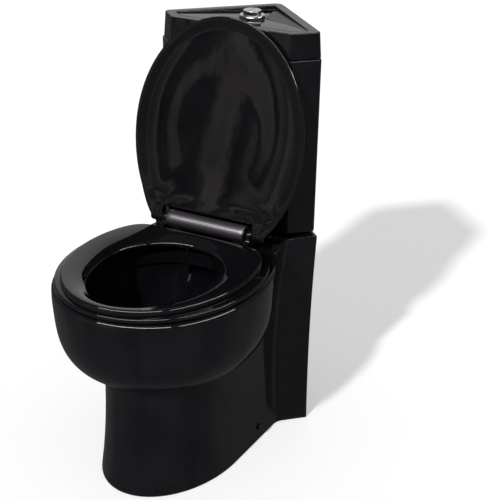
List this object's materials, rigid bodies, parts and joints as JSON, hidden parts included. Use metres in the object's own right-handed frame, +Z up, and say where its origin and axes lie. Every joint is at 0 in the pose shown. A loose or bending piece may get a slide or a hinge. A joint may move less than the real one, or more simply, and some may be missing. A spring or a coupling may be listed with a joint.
{
  "type": "close coupled toilet",
  "caption": "Corner close coupled toilet with skirted foot, overhanging oval bowl, soft-close seat and cover on a barrel hinge, and a top push-button cistern.",
  "frame": {"origin": "on the floor, midway between the front of the bowl and the corner that the cistern fits into, on the plane of symmetry", "axes": "+Z up, -Y towards the front of the bowl, +X to the right of someone who faces the toilet"},
  "size_m": [0.371, 0.6531, 0.7966],
  "materials": {
    "black_glaze": "black gloss glaze",
    "black_duroplast": "polished black moulded plastic",
    "black_moulding": "satin black",
    "brushed_steel": "brushed",
    "chrome": "polished",
    "dark_rubber": "matt",
    "red_rubber": "matt silicone",
    "white_moulding": "moulded",
    "blue_moulding": "moulded"
  },
  "bodies": {
    "base": {"pan": "black_glaze", "cistern": "black_glaze", "cistern_lid": "black_glaze", "hinge_barrel": "brushed_steel", "barrel_end_caps": "black_moulding", "ring_damper": "white_moulding", "cover_damper": "white_moulding", "hinge_posts": "black_moulding", "hinge_studs": "brushed_steel", "hinge_washers": "dark_rubber", "hinge_wing_nuts": "white_moulding", "button_collar": "chrome", "collar_nut": "white_moulding", "flush_valve_body": "white_moulding", "lever_pin": "brushed_steel", "flush_valve_nut": "white_moulding", "flush_valve_washer": "dark_rubber", "close_coupling_gasket": "dark_rubber", "cistern_bolts": "brushed_steel", "cistern_bolt_washers": "dark_rubber", "under_deck_washers": "dark_rubber", "cistern_wing_nuts": "white_moulding", "fill_valve_body": "white_moulding", "fill_valve_washer": "dark_rubber", "fill_valve_nut": "white_moulding", "float_lever_pin": "brushed_steel", "floor_brackets": "white_moulding", "side_screws": "brushed_steel", "screw_caps": "black_moulding", "cistern_pads": "dark_rubber", "full_flush_spring": "brushed_steel", "half_flush_spring": "brushed_steel"},
    "seat_ring": {"seat_ring": "black_duroplast", "ring_bumpers": "dark_rubber", "ring_damper_shaft": "brushed_steel"},
    "seat_cover": {"seat_cover": "black_duroplast", "cover_damper_shaft": "brushed_steel"},
    "full_flush_button": {"full_flush_button": "chrome", "full_flush_rod": "white_moulding"},
    "half_flush_button": {"half_flush_button": "chrome", "half_flush_rod": "white_moulding"},
    "lift_lever": {"lift_lever": "white_moulding"},
    "canister": {"canister": "blue_moulding", "flush_seal": "red_rubber"},
    "float": {"float_cup": "blue_moulding", "float_link": "white_moulding"},
    "float_lever": {"float_lever": "white_moulding"}
  },
  "joints": [
    {"name": "cover_hinge", "type": "hinge", "parent": "base", "child": "seat_cover", "pos_m": [0, 0.0485, 0.419], "axis": [1, 0, 0], "range_deg": [0, 100.5]},
    {"name": "seat_hinge", "type": "hinge", "parent": "base", "child": "seat_ring", "pos_m": [0, 0.0485, 0.419], "axis": [1, 0, 0], "range_deg": [-98, 0]},
    {"name": "full_flush_press", "type": "slide", "parent": "base", "child": "full_flush_button", "axis": [0, 0, -1], "range_m": [0, 0.007], "stiffness_N_per_m": 250, "springref_m": -0.006, "deforming": ["full_flush_spring"]},
    {"name": "half_flush_press", "type": "slide", "parent": "base", "child": "half_flush_button", "axis": [0, 0, -1], "range_m": [0, 0.007], "stiffness_N_per_m": 250, "springref_m": -0.006, "deforming": ["half_flush_spring"]},
    {"name": "lift_lever_tip", "type": "hinge", "parent": "base", "child": "lift_lever", "pos_m": [0, 0.2005, 0.692], "axis": [1, 0, 0], "range_deg": [-31, 0]},
    {"name": "canister_lift", "type": "slide", "parent": "base", "child": "canister", "axis": [0, 0, 1], "range_m": [0, 0.0085]},
    {"name": "float_drop", "type": "slide", "parent": "base", "child": "float", "axis": [0, 0, -1], "range_m": [0, 0.008]},
    {"name": "float_lever_tip", "type": "hinge", "parent": "base", "child": "float_lever", "pos_m": [-0.08, 0.1835, 0.694], "axis": [0, 1, 0], "range_deg": [0, 21.5]}
  ],
  "couplings": [
    {"joint": "lift_lever_tip", "follows": "full_flush_press", "rad_per_m": -76},
    {"joint": "canister_lift", "follows": "full_flush_press", "ratio": 1.2143},
    {"joint": "float_lever_tip", "follows": "float_drop", "rad_per_m": 45.455}
  ]
}
